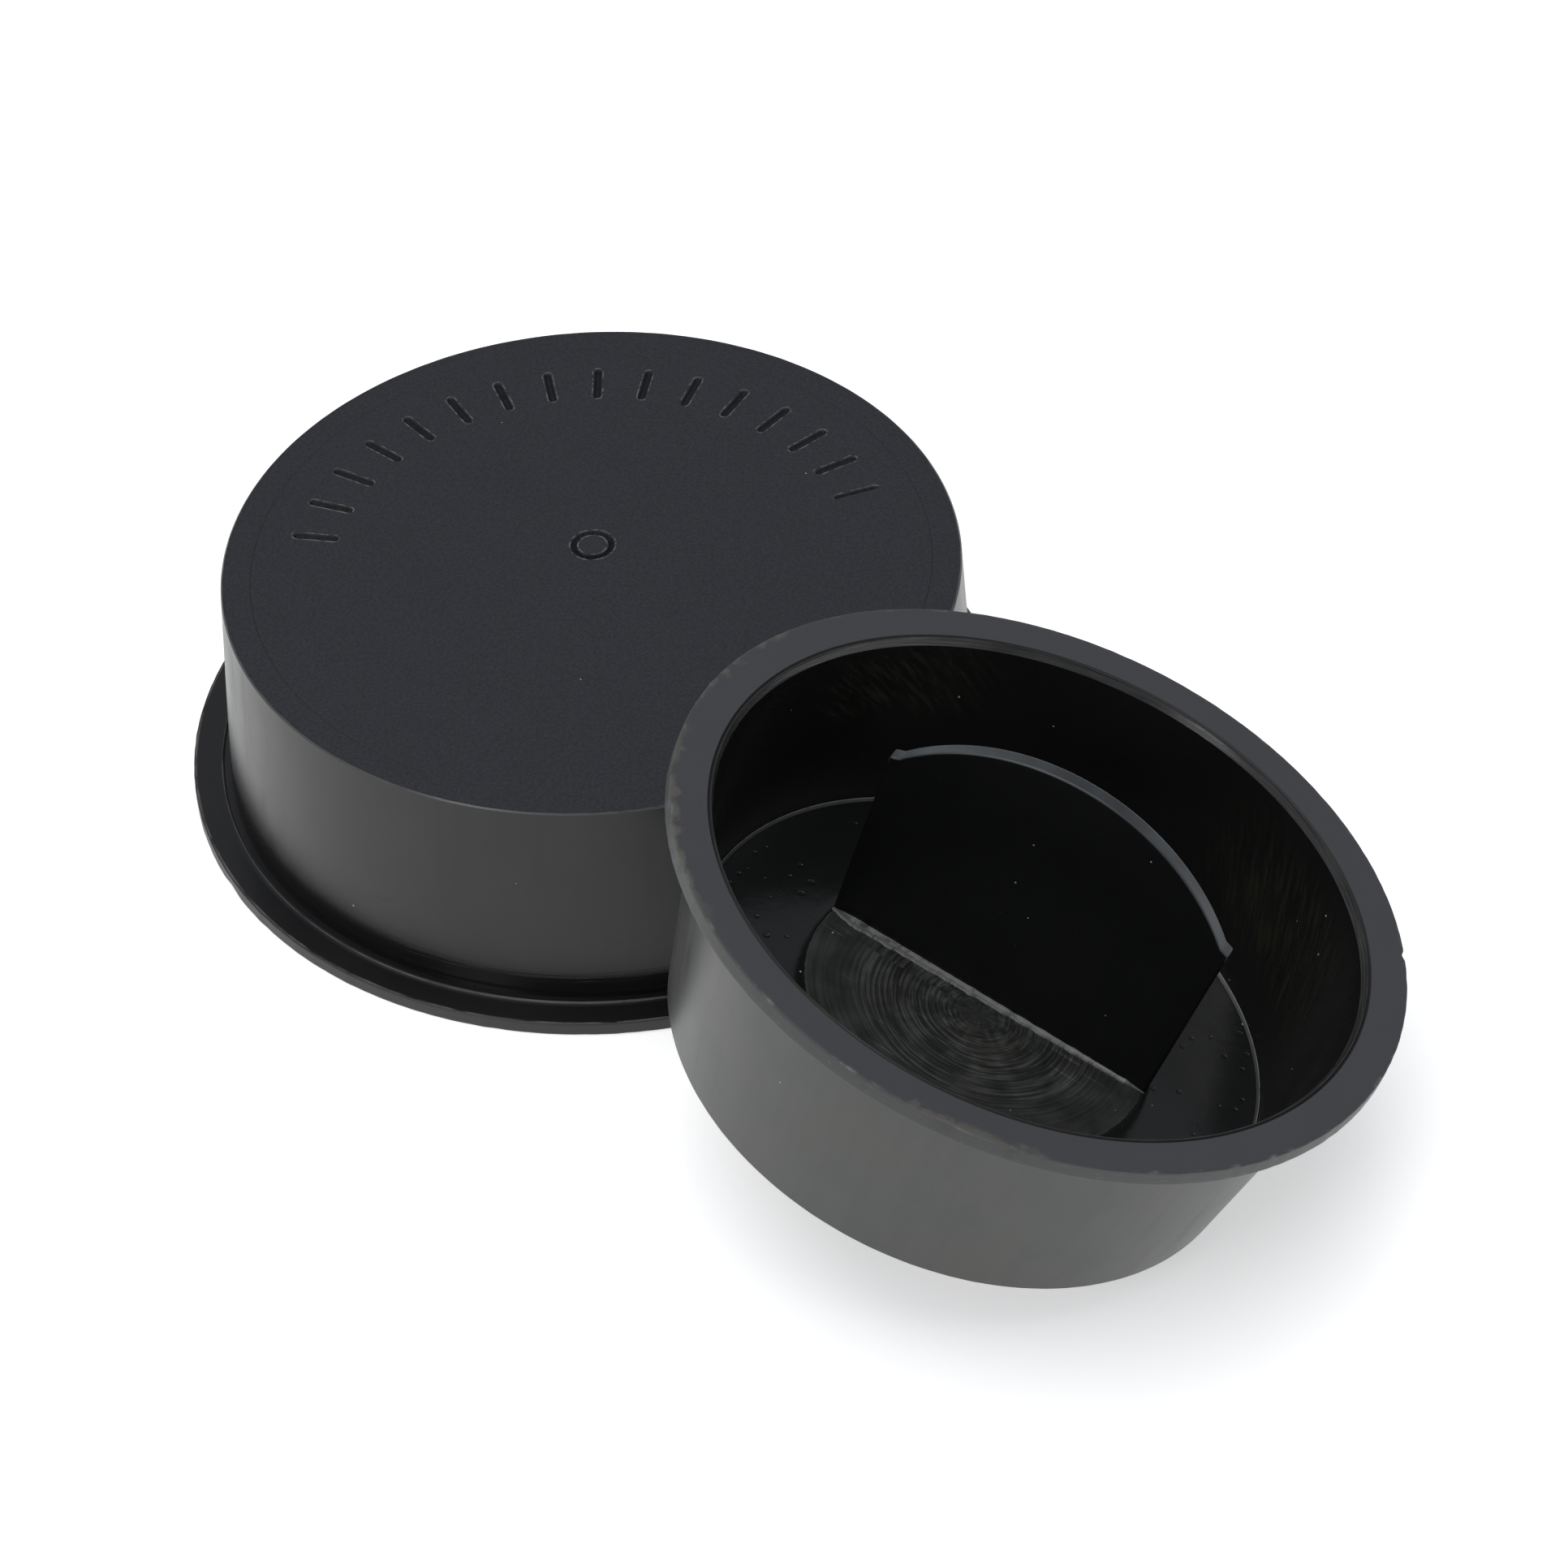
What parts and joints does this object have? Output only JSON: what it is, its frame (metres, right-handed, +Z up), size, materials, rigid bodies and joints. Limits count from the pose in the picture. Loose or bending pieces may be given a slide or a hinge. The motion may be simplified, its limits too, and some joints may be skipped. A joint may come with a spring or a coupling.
{
  "type": "flanged plug cap pair",
  "caption": "Pair of black plastic plug caps with flanges and an upright finger grip inside, one lying closed face up and one leaning mouth up.",
  "frame": {"origin": "centre of the large cap's mouth, in the plane of its rim, on the table", "axes": "+Z up, along the large cap's axis towards its closed face; the small cap stands towards +X and -Y; the camera of the picture looks along +Y and down"},
  "size_m": [0.0831, 0.0908, 0.0309],
  "materials": {
    "face_plastic": "fine-grained matte black",
    "wall_plastic": "satin black, lightly rubbed",
    "flange_plastic": "matte black with scuffed edges",
    "floor_plastic": "smooth glossy black",
    "grip_plastic": "smooth black"
  },
  "bodies": {
    "large_cap": {"large_flange_ring": "flange_plastic", "large_sleeve": "wall_plastic", "large_end_disc": "face_plastic", "large_grip_pad": "floor_plastic", "large_grip_web": "grip_plastic"},
    "small_cap": {"small_flange_ring": "flange_plastic", "small_sleeve": "wall_plastic", "small_end_disc": "floor_plastic", "small_grip_pad": "floor_plastic", "small_grip_web": "grip_plastic"}
  },
  "joints": [
    {"name": "small_cap_lift", "type": "slide", "parent": "large_cap", "child": "small_cap", "axis": [0, 0, 1], "range_m": [0, 0.04]}
  ]
}
